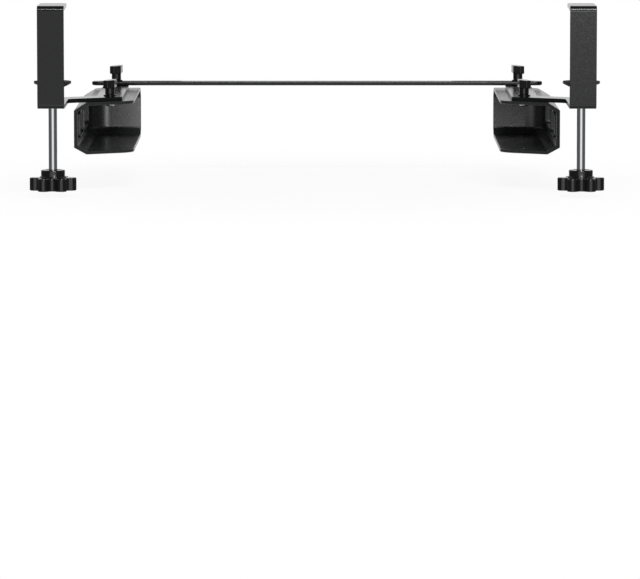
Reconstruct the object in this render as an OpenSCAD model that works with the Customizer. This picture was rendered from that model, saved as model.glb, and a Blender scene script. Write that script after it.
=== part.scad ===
// Under desk laptop shelf: two clamp brackets, each carrying a moulded side tray, joined by one flat bar.
// The origin is on the top front edge of the desk, midway between the clamps.
// X runs to the right, Y runs under the desk, away from its front edge, and Z runs up.
// Every piece is drawn once, for the right side, and mirrored for the left.

/* [Bracket] */
// Distance between the middles of the two clamp brackets
clamp_span = 496; // [470:2:530]
// Width of the bent steel strip
strip_w = 25; // [23:1:28]
// Thickness of the bent steel strip
plate_t = 4; // [3:0.5:5]
// Height of the bracket, over the jaw and the leg
bracket_h = 96; // [88:2:120]
// Length of the upper jaw, from the front face of the bracket
jaw_l = 58; // [50:2:70]
// Inner radius of the two bends
bend_r = 1; // [0.5:0.5:3]
// Distance of the inner corner of leg and arm from the desk edge
arm_y = 77; // [68:1:90]
// Sideways distance between the clamp line and the screw line
arm_shift = 50; // [44:1:60]
// Angle by which the arm is swept back
arm_angle = 30; // [22:1:36]
// Corner radius of the strip's outline
outline_r = 8; // [4:1:9]
// Corner radius at the free end of the jaw
jaw_corner_r = 4; // [2:0.5:8]

/* [Jaw liner] */
// Thickness of the liner under the jaw
liner_t = 2; // [1:0.5:4]
// Steel left bare round the liner
liner_margin = 1.5; // [0.5:0.5:3]

/* [Clamp spindle] */
// Diameter of the spindle
spindle_d = 8; // [6:0.5:9]
// Length of the spindle
spindle_l = 90; // [84:1:110]
// Distance of the spindle's axis from the desk edge
spindle_y = 31; // [26:1:36]
// Height of the hub's lower face above the leg, as drawn
pad_lift = 4.7; // [1:0.1:40]
// Running clearance round the spindle, on the radius
spindle_fit = 0.05; // [0.03:0.01:0.1]

/* [Pressure pad] */
// Diameter of the pad
pad_d = 35; // [30:1:40]
// Thickness of the soft face on the pad
pad_face_t = 1.2; // [0.8:0.2:2]
// Thickness of the pad's rim under the soft face
pad_rim_t = 1.2; // [0.8:0.2:2]
// Thickness of the pad over the ball
pad_roof_t = 0.8; // [0.6:0.1:1.5]
// Radius of the ball that the pad tilts on
ball_r = 3.6; // [3.2:0.1:4.4]
// Clearance between the ball and its socket
ball_gap = 0.3; // [0.2:0.05:0.4]
// How far the pad reaches below the middle of the ball
pad_grip = 1.6; // [1.3:0.1:2]
// Diameter of the hub
hub_d = 11.5; // [10.5:0.5:14]
// Height of the hub
hub_h = 6.5; // [5.5:0.5:9]
// Depth of the spindle's seat in the hub
hub_seat = 4.5; // [3:0.5:5]
// Height of the neck between the hub and the middle of the ball
neck_h = 2.9; // [2.7:0.1:4]
// Room that the neck has in the pad's mouth, on the radius
neck_gap = 0.6; // [0.4:0.1:0.8]
// Wall left round the socket at the pad's mouth
mouth_wall = 1.2; // [0.8:0.2:2]
// How strongly the pad's underside is bowed, 1 being a plain cone
pad_bow = 1.3; // [1:0.1:1.8]

/* [Star knob] */
// Diameter over the lobes
knob_d = 44; // [40:1:50]
// Number of lobes
lobes = 6; // [5:1:7]
// Radius of a lobe
lobe_r = 5; // [4:0.25:6]
// Radius of the hollow between two lobes
scallop_r = 4.5; // [4:0.25:6]
// Height of the lobed part
lobe_h = 12.2; // [10:0.2:16]
// Diameter of the collar
collar_d = 22.6; // [18:0.2:25]
// Height of the collar
collar_h = 7.2; // [4:0.2:10]
// Height of the step between collar and lobes
shoulder_h = 1.2; // [0.6:0.2:2]
// Width of the step between collar and lobes
shoulder_w = 1.2; // [0.6:0.2:2]
// Diameter of the cap in the underside
cap_d = 20; // [14:1:22]
// Thickness of the cap
cap_t = 1.5; // [1:0.1:2.5]
// How far the cap lies inside the underside
cap_sink = 0.6; // [0.3:0.1:1.5]

/* [Tray] */
// Distance from the screw line to the tray's open inner edge
tray_in = 23; // [18:1:34]
// Distance from the screw line to the tray's outer wall
tray_out = 32.5; // [29:0.5:40]
// Height of the tray
tray_h = 49.5; // [42:0.5:70]
// Wall thickness of the tray
wall_t = 3.2; // [2.4:0.2:4]
// Distance from the rear screws to the back of the tray
tray_tail = 34; // [28:1:50]
// How far the tray's front edge stands ahead of the arm
tray_lead = 2; // [0:0.5:4]
// Width of the sloped edges
chamfer_w = 11.5; // [7:0.5:13]
// Height of the sloped edges
chamfer_h = 7; // [5:0.5:9]
// Radius of the closed corner, seen from above
back_r = 25; // [18:1:32]
// Radius of the open front corner, seen from above
front_r = 24; // [10:1:28]
// Diameter of the screwdriver holes in the tray's floor
access_d = 6.8; // [6:0.2:9]

/* [Cable windows] */
// Height of the windows in the outer wall
window_h = 22; // [14:1:26]
// Height of the windows' middle above the middle of the wall
window_rise = 3; // [0:0.5:4]
// Wall left ahead of the front window
window_lead = 20; // [12:1:30]
// Length of the front window
window_l = 65; // [40:1:72]
// Width of the rib between the windows
window_rib = 13; // [6:1:20]
// Wall left between the rear window and the closed corner
window_tail = 16; // [5:1:40]
// Corner radius of the windows
window_r = 3; // [1:0.5:6]
// Width of the stiffening frame round each window, inside the tray
frame_w = 2; // [1:0.5:3]
// How far the frame stands inwards from the wall
frame_t = 2.3; // [1:0.1:3]

/* [Bar] */
// Width of the bar
bar_w = 14; // [12:1:30]
// Thickness of the bar
bar_t = 4; // [3:0.5:6]
// Length of the bar beyond each screw line
bar_over = 24; // [22:1:36]
// Sideways travel that the slots give towards the middle
slot_in = 62; // [30:1:100]
// Sideways travel that the slots give outwards
slot_out = 12; // [4:1:13]

/* [Tray screws] */
// Diameter of the screws
screw_d = 5; // [4:0.5:6]
// Clearance of the screws in their holes and slots, on the radius
screw_gap = 0.3; // [0.25:0.05:0.6]
// Distance of the front screw behind the arm's inner corner
screw_set = 15; // [13:1:30]
// Distance between the front and rear screws
screw_pitch = 156; // [140:1:200]
// Head diameter of the screws
head_d = 9.5; // [8:0.5:11]
// Head height of the screws
head_h = 3; // [2:0.2:4]
// Diameter of the head's face, as a share of the head's
head_face = 0.8; // [0.6:0.05:0.95]
// Length of the cross recess, as a share of the head's diameter
cross_share = 0.55; // [0.4:0.05:0.65]
// Width of the cross recess
cross_w = 1; // [0.8:0.1:1.4]
// Diameter of the washers
washer_d = 12; // [10.5:0.5:16]
// Thickness of the washers
washer_t = 1.2; // [0.8:0.1:2]

/* [Wing knobs] */
// Diameter of the stem
stem_d = 9.2; // [8.4:0.2:10]
// Height of the stem
stem_h = 6.5; // [5:0.5:12]
// Length over both wings
wing_l = 24.4; // [20:0.4:32]
// Thickness at the middle of the wings
wing_mid = 9.4; // [8.6:0.2:11]
// Thickness at the ends of the wings
wing_end = 4.8; // [3:0.2:6]
// Height of the wings
wing_h = 7.6; // [6:0.2:10]
// Corner radius at the ends of the wings
wing_tip_r = 1; // [0.6:0.1:1.4]
// Radius of the wings' ridges over the stem
wing_ridge_r = 4; // [2:0.5:6]
// Angle at which the wings are left
wing_turn = 18; // [0:1:90]
// Depth of the blind thread in the knob
knob_thread = 9; // [7:0.5:11]
// Running clearance round the screw in the knob, on the radius
knob_fit = 0.05; // [0.03:0.01:0.1]

/* [Hidden] */
$fn = 96;
arc_steps = 8;
overlap = 1;
tip_flat = 0.01;

clamp_x = clamp_span / 2;
screw_x = clamp_x - arm_shift;
jaw_top = liner_t + plate_t;
leg_z = jaw_top - bracket_h;
leg_top = leg_z + plate_t;
half_w = strip_w / 2;
bend_out = bend_r + plate_t;
jaw_end = jaw_l - plate_t;

strip_inner = screw_x - half_w;
strip_outer = screw_x + half_w;
front_y = arm_front(strip_inner) + screw_set;
rear_y = front_y + screw_pitch;
strip_end = rear_y + half_w;

hub_bottom = leg_top + pad_lift;
ball_z = hub_bottom + hub_h + neck_h;
socket_r = ball_r + ball_gap;
neck_r = sqrt(pow(socket_r, 2) - pow(pad_grip, 2)) - neck_gap;
pad_under = ball_z - pad_grip;
pad_top = ball_z + socket_r + pad_roof_t;
spindle_top = hub_bottom + hub_seat;
spindle_end = spindle_top - spindle_l;

cap_seat = cap_t + cap_sink;
knob_z = spindle_end - cap_seat;
lobe_ring = knob_d / 2 - lobe_r;
lobe_step = 360 / lobes;
lobe_half = lobe_ring * sin(lobe_step / 2);
scallop_ring = lobe_ring * cos(lobe_step / 2) + sqrt(pow(lobe_r + scallop_r, 2) - pow(lobe_half, 2));

tray_top = leg_z;
tray_z = tray_top - tray_h;
tray_inner = screw_x - tray_in;
tray_outer = screw_x + tray_out;
tray_back = rear_y + tray_tail;
tray_front = arm_front(tray_outer) - tray_lead;
chamfer_angle = atan(chamfer_h / chamfer_w);
inner_rise = wall_t * tan((90 - chamfer_angle) / 2);
inner_run = wall_t * tan(chamfer_angle / 2);
window_front = tray_front + window_lead;
window_mid = window_front + window_l;
window_back = tray_back - back_r - window_tail;
window_z = tray_z + tray_h / 2 + window_rise;
windows = [[window_front, window_mid], [window_mid + window_rib, window_back]];
frame_x = tray_outer - wall_t - frame_t;

bar_half = screw_x + bar_over;
bar_top = leg_top + bar_t;
ceiling_z = tray_top - wall_t;

steel_black = "#333436";
tray_black = "#3a3b3c";
knob_black = "#1f2021";
rubber_black = "#2a2a2a";
bright_zinc = "#c9ccd0";

// Front edge of the swept arm at a given distance from the middle
function arm_front(x) = arm_y + (clamp_x - half_w - x) * tan(arm_angle);

function unit(v) = v / norm(v);

// Points of the round that replaces corner b of the path from a over b to c
function round_corner(a, b, c, r) =
  let (
    u = unit(a - b),
    v = unit(c - b),
    half = acos(u * v) / 2,
    start = b + u * r / tan(half),
    middle = b + unit(u + v) * r / sin(half),
    side = (u[0] * v[1] - u[1] * v[0]) > 0 ? -1 : 1,
    sweep = side * (180 - 2 * half),
    first = start - middle
  )
  [for (i = [0:arc_steps])
    let (t = sweep * i / arc_steps)
    middle + [first[0] * cos(t) - first[1] * sin(t), first[0] * sin(t) + first[1] * cos(t)]];

// Outline through corners given as x, y and radius
function round_outline(corners) =
  let (n = len(corners), xy = [for (p = corners) [p[0], p[1]]])
  [for (i = [0:n - 1])
    each corners[i][2] == 0
      ? [xy[i]]
      : round_corner(xy[(i + n - 1) % n], xy[i], xy[(i + 1) % n], corners[i][2])];

// Draws its children for one side of the shelf
module side(name) {
  mirror([name == "left" ? 1 : 0, 0, 0]) children();
}

// Quarter of a ring, in the quadrant that spin turns to
module bend(spin) {
  rotate(spin)
    intersection() {
      difference() {
        circle(bend_out);
        circle(bend_r);
      }
      square(bend_out + overlap);
    }
}

// Front plate with its two bends, seen from the side
module front_profile() {
  bend_low = leg_top + bend_r;
  bend_high = liner_t - bend_r;
  translate([-plate_t, bend_low])
    square([plate_t, bend_high - bend_low]);
  translate([bend_r, bend_high])
    bend(90);
  translate([bend_r, bend_low])
    bend(180);
}

// Upper jaw, seen from above
module jaw_outline() {
  polygon(round_outline([
    [clamp_x - half_w, bend_r, 0],
    [clamp_x + half_w, bend_r, 0],
    [clamp_x + half_w, jaw_end, jaw_corner_r],
    [clamp_x - half_w, jaw_end, jaw_corner_r]
  ]));
}

// Leg, swept arm and rear strip, seen from above
module leg_outline() {
  arm_depth = strip_w / cos(arm_angle);
  polygon(round_outline([
    [clamp_x + half_w, bend_r, 0],
    [clamp_x + half_w, arm_front(clamp_x + half_w) + arm_depth, outline_r],
    [strip_outer, arm_front(strip_outer) + arm_depth, outline_r],
    [strip_outer, strip_end, half_w - tip_flat],
    [strip_inner, strip_end, half_w - tip_flat],
    [strip_inner, arm_front(strip_inner), outline_r],
    [clamp_x - half_w, arm_y, outline_r],
    [clamp_x - half_w, bend_r, 0]
  ]));
}

module screw_holes(z, h) {
  for (y = [front_y, rear_y])
    translate([screw_x, y, z])
      cylinder(h = h, r = screw_d / 2 + screw_gap);
}

module bracket() {
  color(steel_black)
    difference() {
      union() {
        translate([clamp_x - half_w, 0, 0])
          rotate([90, 0, 90])
            linear_extrude(strip_w)
              front_profile();
        translate([0, 0, liner_t])
          linear_extrude(plate_t)
            jaw_outline();
        translate([0, 0, leg_z])
          linear_extrude(plate_t)
            leg_outline();
      }
      translate([clamp_x, spindle_y, leg_z - overlap])
        cylinder(h = plate_t + 2 * overlap, r = spindle_d / 2 + spindle_fit);
      screw_holes(leg_z - overlap, plate_t + 2 * overlap);
    }
}

module jaw_liner() {
  reach = half_w - liner_margin;
  color(rubber_black)
    linear_extrude(liner_t)
      polygon(round_outline([
        [clamp_x - reach, bend_r + liner_margin, 0],
        [clamp_x + reach, bend_r + liner_margin, 0],
        [clamp_x + reach, jaw_end - liner_margin, jaw_corner_r],
        [clamp_x - reach, jaw_end - liner_margin, jaw_corner_r]
      ]));
}

module on_spindle(z) {
  translate([clamp_x, spindle_y, z])
    children();
}

module spindle() {
  color(bright_zinc)
    on_spindle(spindle_end)
      cylinder(h = spindle_l, r = spindle_d / 2);
}

// Middle of a lobe, or of a hollow, on its ring
function ring_point(ring, angle) = ring * [cos(angle), sin(angle)];

// Lobes joined by hollows that meet them smoothly
module star_outline() {
  share = lobe_r / (lobe_r + scallop_r);
  difference() {
    union() {
      polygon([for (i = [0:lobes - 1], turn = [-0.5, 0.5])
        let (
          lobe = ring_point(lobe_ring, i * lobe_step),
          hollow = ring_point(scallop_ring, (i + turn) * lobe_step)
        )
        lobe + share * (hollow - lobe)]);
      for (i = [0:lobes - 1])
        translate(ring_point(lobe_ring, i * lobe_step))
          circle(lobe_r);
    }
    for (i = [0:lobes - 1])
      translate(ring_point(scallop_ring, (i + 0.5) * lobe_step))
        circle(scallop_r);
  }
}

module star_knob() {
  color(knob_black)
    on_spindle(knob_z)
      difference() {
        union() {
          linear_extrude(lobe_h)
            star_outline();
          translate([0, 0, lobe_h])
            cylinder(h = shoulder_h, r = collar_d / 2 + shoulder_w);
          translate([0, 0, lobe_h])
            cylinder(h = collar_h, r = collar_d / 2);
        }
        translate([0, 0, cap_seat])
          cylinder(h = lobe_h + collar_h, r = spindle_d / 2 + spindle_fit);
        translate([0, 0, -overlap])
          cylinder(h = cap_seat + overlap, r = cap_d / 2 + spindle_fit);
      }
}

module knob_cap() {
  color(knob_black)
    on_spindle(knob_z + cap_sink)
      cylinder(h = cap_t, r = cap_d / 2);
}

module pad_hub() {
  color(knob_black)
    on_spindle(0)
      difference() {
        union() {
          translate([0, 0, hub_bottom])
            cylinder(h = hub_h, r = hub_d / 2);
          translate([0, 0, hub_bottom])
            cylinder(h = ball_z - hub_bottom, r = neck_r);
          translate([0, 0, ball_z])
            sphere(ball_r);
        }
        translate([0, 0, hub_bottom - overlap])
          cylinder(h = hub_seat + overlap, r = spindle_d / 2 + spindle_fit);
      }
}

// Half section of the pad, with a bowed underside
module pad_profile() {
  rim_z = pad_top - pad_rim_t;
  bowl_r = socket_r + mouth_wall;
  run = pad_d / 2 - bowl_r;
  drop = rim_z - pad_under;
  polygon(concat(
    [[0, pad_top], [pad_d / 2, pad_top]],
    [for (i = [0:arc_steps])
      let (t = 1 - i / arc_steps)
      [bowl_r + run * t, pad_under + drop * pow(t, pad_bow)]],
    [[0, pad_under]]
  ));
}

module pressure_pad() {
  color(knob_black)
    on_spindle(0)
      difference() {
        rotate_extrude()
          pad_profile();
        translate([0, 0, ball_z])
          sphere(socket_r);
      }
}

module pad_face() {
  color(rubber_black)
    on_spindle(pad_top)
      cylinder(h = pad_face_t, r = pad_d / 2);
}

// Outside of the tray seen from above, drawn in from the outer wall and the back
module tray_outline(inset) {
  x = tray_outer - inset;
  y = tray_back - inset;
  polygon(round_outline([
    [tray_inner, arm_front(tray_inner) - tray_lead, front_r],
    [x, arm_front(x) - tray_lead, 0],
    [x, y, back_r - inset],
    [tray_inner, y, 0]
  ]));
}

// Inside of the tray seen from above, run out past the open front and inner edges
module bay_outline(inset) {
  x = tray_outer - inset;
  y = tray_back - inset;
  polygon(round_outline([
    [tray_inner - overlap, tray_front - overlap, 0],
    [x, tray_front - overlap, 0],
    [x, y, back_r - inset],
    [tray_inner - overlap, y, 0]
  ]));
}

// Both windows of the outer wall as solids between two distances from the middle, drawn out by a margin
module tray_windows(x1, x2, margin) {
  low = window_z - window_h / 2 - margin;
  high = window_z + window_h / 2 + margin;
  corner = window_r + margin;
  translate([x1, 0, 0])
    rotate([90, 0, 90])
      linear_extrude(x2 - x1)
        for (window = windows)
          polygon(round_outline([
            [window[0] - margin, low, corner],
            [window[1] + margin, low, corner],
            [window[1] + margin, high, corner],
            [window[0] - margin, high, corner]
          ]));
}

// Outer wall, floor, ceiling and back, open at the front and towards the middle
module tray_shell() {
  difference() {
    hull() {
      translate([0, 0, tray_z])
        linear_extrude(tray_h)
          tray_outline(chamfer_w);
      translate([0, 0, tray_z + chamfer_h])
        linear_extrude(tray_h - 2 * chamfer_h)
          tray_outline(0);
    }
    hull() {
      translate([0, 0, tray_z + wall_t])
        linear_extrude(tray_h - 2 * wall_t)
          bay_outline(chamfer_w + inner_run);
      translate([0, 0, tray_z + chamfer_h + inner_rise])
        linear_extrude(tray_h - 2 * (chamfer_h + inner_rise))
          bay_outline(wall_t);
    }
  }
}

module tray() {
  color(tray_black)
    difference() {
      union() {
        tray_shell();
        tray_windows(frame_x, tray_outer - overlap, frame_w);
      }
      tray_windows(frame_x - overlap, tray_outer + overlap, 0);
      screw_holes(ceiling_z - overlap, wall_t + 2 * overlap);
      for (y = [front_y, rear_y])
        translate([screw_x, y, tray_z - overlap])
          cylinder(h = wall_t + 2 * overlap, r = access_d / 2);
    }
}

module bar_slot() {
  for (x = [screw_x - slot_in, screw_x + slot_out])
    translate([x, rear_y])
      circle(screw_d / 2 + screw_gap);
  translate([screw_x - slot_in, rear_y - screw_d / 2 - screw_gap])
    square([slot_in + slot_out, screw_d + 2 * screw_gap]);
}

module cross_bar() {
  color(steel_black)
    translate([0, 0, leg_top])
      linear_extrude(bar_t)
        difference() {
          union() {
            translate([bar_w / 2 - bar_half, rear_y - bar_w / 2])
              square([2 * bar_half - bar_w, bar_w]);
            for (x = [bar_w / 2 - bar_half, bar_half - bar_w / 2])
              translate([x, rear_y])
                circle(bar_w / 2);
          }
          bar_slot();
          mirror([1, 0])
            bar_slot();
        }
}

// Pan head screw with a cross recess, standing up from the tray's ceiling
module screw_body(y, seat) {
  cross_l = head_d * cross_share;
  tip_z = seat + washer_t + knob_thread;
  color(bright_zinc)
    translate([screw_x, y, 0])
      difference() {
        union() {
          translate([0, 0, ceiling_z - head_h])
            cylinder(h = head_h, r1 = head_face * head_d / 2, r2 = head_d / 2);
          translate([0, 0, ceiling_z - head_h / 2])
            cylinder(h = tip_z - ceiling_z + head_h / 2, r = screw_d / 2);
        }
        for (turn = [0, 90])
          rotate(turn)
            translate([-cross_l / 2, -cross_w / 2, ceiling_z - head_h - overlap])
              cube([cross_l, cross_w, head_h / 2 + overlap]);
      }
}

module washer_body(y, seat) {
  color(steel_black)
    translate([screw_x, y, seat])
      difference() {
        cylinder(h = washer_t, r = washer_d / 2);
        translate([0, 0, -overlap])
          cylinder(h = washer_t + 2 * overlap, r = screw_d / 2 + screw_gap);
      }
}

// Long six sided wings, thickest over the stem
module wing_outline() {
  a = wing_l / 2;
  b = wing_end / 2;
  c = wing_mid / 2;
  polygon(round_outline([
    [-b, -a, wing_tip_r],
    [b, -a, wing_tip_r],
    [c, 0, wing_ridge_r],
    [b, a, wing_tip_r],
    [-b, a, wing_tip_r],
    [-c, 0, wing_ridge_r]
  ]));
}

module wing_body(y, seat) {
  color(knob_black)
    translate([screw_x, y, seat + washer_t])
      difference() {
        union() {
          cylinder(h = stem_h + overlap, r = stem_d / 2);
          translate([0, 0, stem_h])
            rotate(wing_turn)
              linear_extrude(wing_h)
                wing_outline();
        }
        translate([0, 0, -overlap])
          cylinder(h = knob_thread + overlap, r = screw_d / 2 + knob_fit);
      }
}

// The front set of fasteners stands on the strip, the rear set on the bar
module front_screw() {
  screw_body(front_y, leg_top);
}

module rear_screw() {
  screw_body(rear_y, bar_top);
}

module front_washer() {
  washer_body(front_y, leg_top);
}

module rear_washer() {
  washer_body(rear_y, bar_top);
}

module front_wing_knob() {
  wing_body(front_y, leg_top);
}

module rear_wing_knob() {
  wing_body(rear_y, bar_top);
}

cross_bar();
side("left") bracket();  // left_bracket
side("right") bracket();  // right_bracket
side("left") jaw_liner();  // left_jaw_liner
side("right") jaw_liner();  // right_jaw_liner
side("left") spindle();  // left_spindle
side("right") spindle();  // right_spindle
side("left") star_knob();  // left_star_knob
side("right") star_knob();  // right_star_knob
side("left") knob_cap();  // left_knob_cap
side("right") knob_cap();  // right_knob_cap
side("left") pad_hub();  // left_pad_hub
side("right") pad_hub();  // right_pad_hub
side("left") pressure_pad();  // left_pressure_pad
side("right") pressure_pad();  // right_pressure_pad
side("left") pad_face();  // left_pad_face
side("right") pad_face();  // right_pad_face
side("left") tray();  // left_tray
side("right") tray();  // right_tray
side("left") front_screw();  // left_front_screw
side("right") front_screw();  // right_front_screw
side("left") rear_screw();  // left_rear_screw
side("right") rear_screw();  // right_rear_screw
side("left") front_washer();  // left_front_washer
side("right") front_washer();  // right_front_washer
side("left") rear_washer();  // left_rear_washer
side("right") rear_washer();  // right_rear_washer
side("left") front_wing_knob();  // left_front_wing_knob
side("right") front_wing_knob();  // right_front_wing_knob
side("left") rear_wing_knob();  // left_rear_wing_knob
side("right") rear_wing_knob();  // right_rear_wing_knob
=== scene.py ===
"""Under desk laptop shelf: finished meshes, materials, light and camera round the fixed CAD frame.

Lengths in the settings are metres, as Blender shows them. Every mesh is built where it belongs,
so every object stays at the origin, unturned.
"""

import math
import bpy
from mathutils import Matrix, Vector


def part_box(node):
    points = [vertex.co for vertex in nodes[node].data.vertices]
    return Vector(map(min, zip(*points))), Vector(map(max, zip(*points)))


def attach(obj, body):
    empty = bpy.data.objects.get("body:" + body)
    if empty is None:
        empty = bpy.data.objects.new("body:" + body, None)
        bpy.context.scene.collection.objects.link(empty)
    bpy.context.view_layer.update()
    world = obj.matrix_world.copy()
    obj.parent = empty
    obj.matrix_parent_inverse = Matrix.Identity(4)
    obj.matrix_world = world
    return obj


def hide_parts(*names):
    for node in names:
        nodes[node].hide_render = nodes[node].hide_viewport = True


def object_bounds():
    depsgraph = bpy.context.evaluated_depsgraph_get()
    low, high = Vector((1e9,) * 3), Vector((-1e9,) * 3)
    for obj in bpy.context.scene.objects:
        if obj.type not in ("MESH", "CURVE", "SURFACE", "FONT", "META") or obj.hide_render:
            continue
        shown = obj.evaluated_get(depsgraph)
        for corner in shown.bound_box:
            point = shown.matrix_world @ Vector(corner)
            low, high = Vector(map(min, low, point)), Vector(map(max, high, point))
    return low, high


bl_info = {
    "name": "Under desk laptop shelf",
    "version": (1, 0, 0),
    "blender": (4, 5, 0),
    "location": "3D View > Sidebar > Desk Shelf",
    "description": "Builds a clamp-on shelf of two side trays joined by a slotted bar",
    "category": "Add Mesh",
}

import bmesh
import bpy
from bpy.props import FloatProperty, FloatVectorProperty, IntProperty, PointerProperty
from mathutils import Matrix, Vector

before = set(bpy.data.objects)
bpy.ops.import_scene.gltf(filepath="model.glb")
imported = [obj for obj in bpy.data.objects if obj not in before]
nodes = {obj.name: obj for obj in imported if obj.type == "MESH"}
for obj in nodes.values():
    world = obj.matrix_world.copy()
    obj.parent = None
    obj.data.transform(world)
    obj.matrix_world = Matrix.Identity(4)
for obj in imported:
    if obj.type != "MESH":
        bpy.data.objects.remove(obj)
cad_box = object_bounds()

MM = 0.001
SIDES = ("left", "right")
# points of a mesh that lie closer than this are one point
SAME_POINT = 1e-6
# steps of the arcs round a ball
BALL_STEPS = 24


def linear(hex_colour):
    """sRGB hex, as a paint chart gives it, turned to the linear RGBA that shaders take."""
    channels = [int(hex_colour[i : i + 2], 16) / 255 for i in (1, 3, 5)]
    return tuple(c / 12.92 if c <= 0.04045 else ((c + 0.055) / 1.055) ** 2.4 for c in channels) + (1.0,)


# Settings


def colour(name, description, hex_colour):
    """A colour that a user may change."""
    return FloatVectorProperty(
        name=name, description=description, subtype="COLOR", size=4, min=0, max=1,
        default=linear(hex_colour))


def length(name, description, default, **limits):
    """A size that a user may change."""
    return FloatProperty(name=name, description=description, unit="LENGTH", default=default, **limits)


def angle(name, description, degrees):
    """An angle that a user may change."""
    return FloatProperty(name=name, description=description, subtype="ANGLE", default=math.radians(degrees))


def count(name, description, default, low, high):
    """A number of repeats that a user may change."""
    return IntProperty(name=name, description=description, default=default, min=low, max=high)


class FinishSettings(bpy.types.PropertyGroup):
    """Colours of the shelf's finishes."""

    coat: colour("Powder coat", "Colour of the coated steel", "#0e0f10")
    tray: colour("Tray plastic", "Colour of the moulded trays", "#242526")
    knob: colour("Knob plastic", "Colour of the knobs, hubs and pads", "#0c0c0d")
    plating: colour("Zinc plating", "Colour of the spindles and screws", "#d9dbde")
    rubber: colour("Rubber", "Colour of the jaw liners and pad faces", "#1a1a1a")


class EdgeSettings(bpy.types.PropertyGroup):
    """How far edges are rounded."""

    strip: length("Strip edge", "Rounding of the strip's sheared edges", 0.00035, min=0.0002, max=0.0015)
    bar: length("Bar edge", "Rounding of the cross bar's edges", 0.0012, min=0.0002, max=0.0015)
    tray: length("Tray edge", "Rounding of the moulded tray's edges", 0.0007, min=0.0003, max=0.0014)
    knob: length("Knob edge", "Rounding of the moulded knobs' edges", 0.0006, min=0.0002, max=0.0012)


class TraySettings(bpy.types.PropertyGroup):
    """Sizes of the moulded trays, which fill the boxes of their CAD nodes."""

    wall: length("Wall", "Wall thickness", 0.0032)
    slope_w: length("Slope width", "Width of the sloped edges", 0.0115)
    slope_h: length("Slope height", "Height of the sloped edges", 0.007)
    back_r: length("Closed corner", "Radius of the closed corner", 0.025)
    front_r: length("Open corner", "Radius of the open corner", 0.024)
    sweep: angle("Sweep", "Angle of the slanted front edge", 30)
    crease_r: length("Inner crease", "Rounding inside, between wall and slope", 0.004)
    gutter_r: length("Floor crease", "Rounding inside, between slope and floor", 0.0025)
    window_h: length("Window height", "Height of the cable windows", 0.022)
    window_rise: length("Window rise", "Height of the windows above the middle", 0.003)
    window_lead: length("Window lead", "Wall ahead of the front window", 0.020)
    window_l: length("Front window length", "Length of the front window", 0.065)
    window_rib: length("Window rib", "Wall between the two windows", 0.013)
    window_tail: length("Window tail", "Wall behind the rear window", 0.016)
    window_r: length("Window corner", "Corner radius of the windows", 0.003)
    frame_w: length("Frame width", "Width of the frame round each window", 0.002)
    frame_t: length("Frame height", "How far the frames stand inwards", 0.0023)
    hole_r: length("Screw hole", "Radius of the screw holes in the roof", 0.0028)
    access_r: length("Driver hole", "Radius of the screwdriver holes in the floor", 0.0034)
    steps: count("Corner steps", "Faces along each round corner", 28, 8, 64)


class KnobSettings(bpy.types.PropertyGroup):
    """Sizes of the star knobs."""

    lobes: count("Lobes", "Number of lobes", 6, 5, 8)
    ring: length("Lobe ring", "Radius on which the lobes stand", 0.01699)
    lobe_r: length("Lobe radius", "Radius of a lobe", 0.005)
    hollow_r: length("Hollow radius", "Radius of a hollow", 0.0045)
    lobe_h: length("Lobe height", "Height of the lobed part", 0.0122)
    collar_r: length("Collar radius", "Radius of the collar", 0.0113)
    collar_h: length("Collar height", "Height of the collar", 0.0072)
    shoulder: length("Shoulder", "Step between collar and lobes", 0.0012)
    recess_r: length("Recess", "Radius of the recess in the underside", 0.01005)
    recess_d: length("Recess depth", "Depth of the recess in the underside", 0.0021)
    bore_r: length("Bore", "Radius of the rod's bore", 0.00405)
    segments: count("Segments", "Steps round the knob", 288, 96, 720)


class PadSettings(bpy.types.PropertyGroup):
    """Sizes of the pads, their hubs and their ball joints."""

    ball_r: length("Ball", "Radius of the ball", 0.0036)
    ball_gap: length("Ball gap", "Room round the ball", 0.0003)
    grip: length("Grip", "Reach of the pad below the ball's middle", 0.0016)
    mouth: length("Mouth wall", "Wall round the pad's mouth", 0.0012)
    rim: length("Rim", "Thickness of the pad's rim", 0.0012)
    bow: FloatProperty(name="Bow", description="How strongly the underside is bowed", default=1.3)
    hub_h: length("Hub height", "Height of the hub", 0.0065)
    seat: length("Hub seat", "Depth of the rod's seat in the hub", 0.0045)
    neck_r: length("Neck", "Radius of the neck under the ball", 0.00295)


class ScrewSettings(bpy.types.PropertyGroup):
    """Sizes of the pan head screws."""

    shaft_r: length("Shaft", "Radius of the shaft", 0.0025)
    head_h: length("Head height", "Height of the head", 0.003)
    cheek: length("Cheek", "Height of the head's straight side", 0.0009)
    cross_l: length("Cross length", "Length of the cross recess", 0.0052)
    cross_w: length("Cross width", "Width of the cross recess", 0.001)
    cross_d: length("Cross depth", "Depth of the cross recess", 0.0015)


class StageSettings(bpy.types.PropertyGroup):
    """The floor and the camera."""

    side: length("Camera side", "Sideways place of the camera", 0.00288)
    distance: length("Camera distance", "From the camera to the front plates", 4.700)
    level: length("Camera level", "Height of the camera", 0.24298)
    lens: FloatProperty(name="Lens", description="Focal length in millimetres", default=284.326)
    pitch: angle("Camera pitch", "How far the camera looks down", 6.0954)
    drop: length("Floor drop", "Room between the knobs and the floor", 0.006)
    floor_r: length("Floor radius", "Radius of the floor", 0.5)
    floor_y: length("Floor place", "Middle of the floor", 0.15)
    glow: FloatProperty(
        name="Floor glow", description="Share of the floor that is plain white to the camera",
        min=0, max=1, default=0.9)


# Materials

# noise stays mostly between these two values
NOISE_LOW, NOISE_HIGH = 0.3, 0.7


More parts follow.
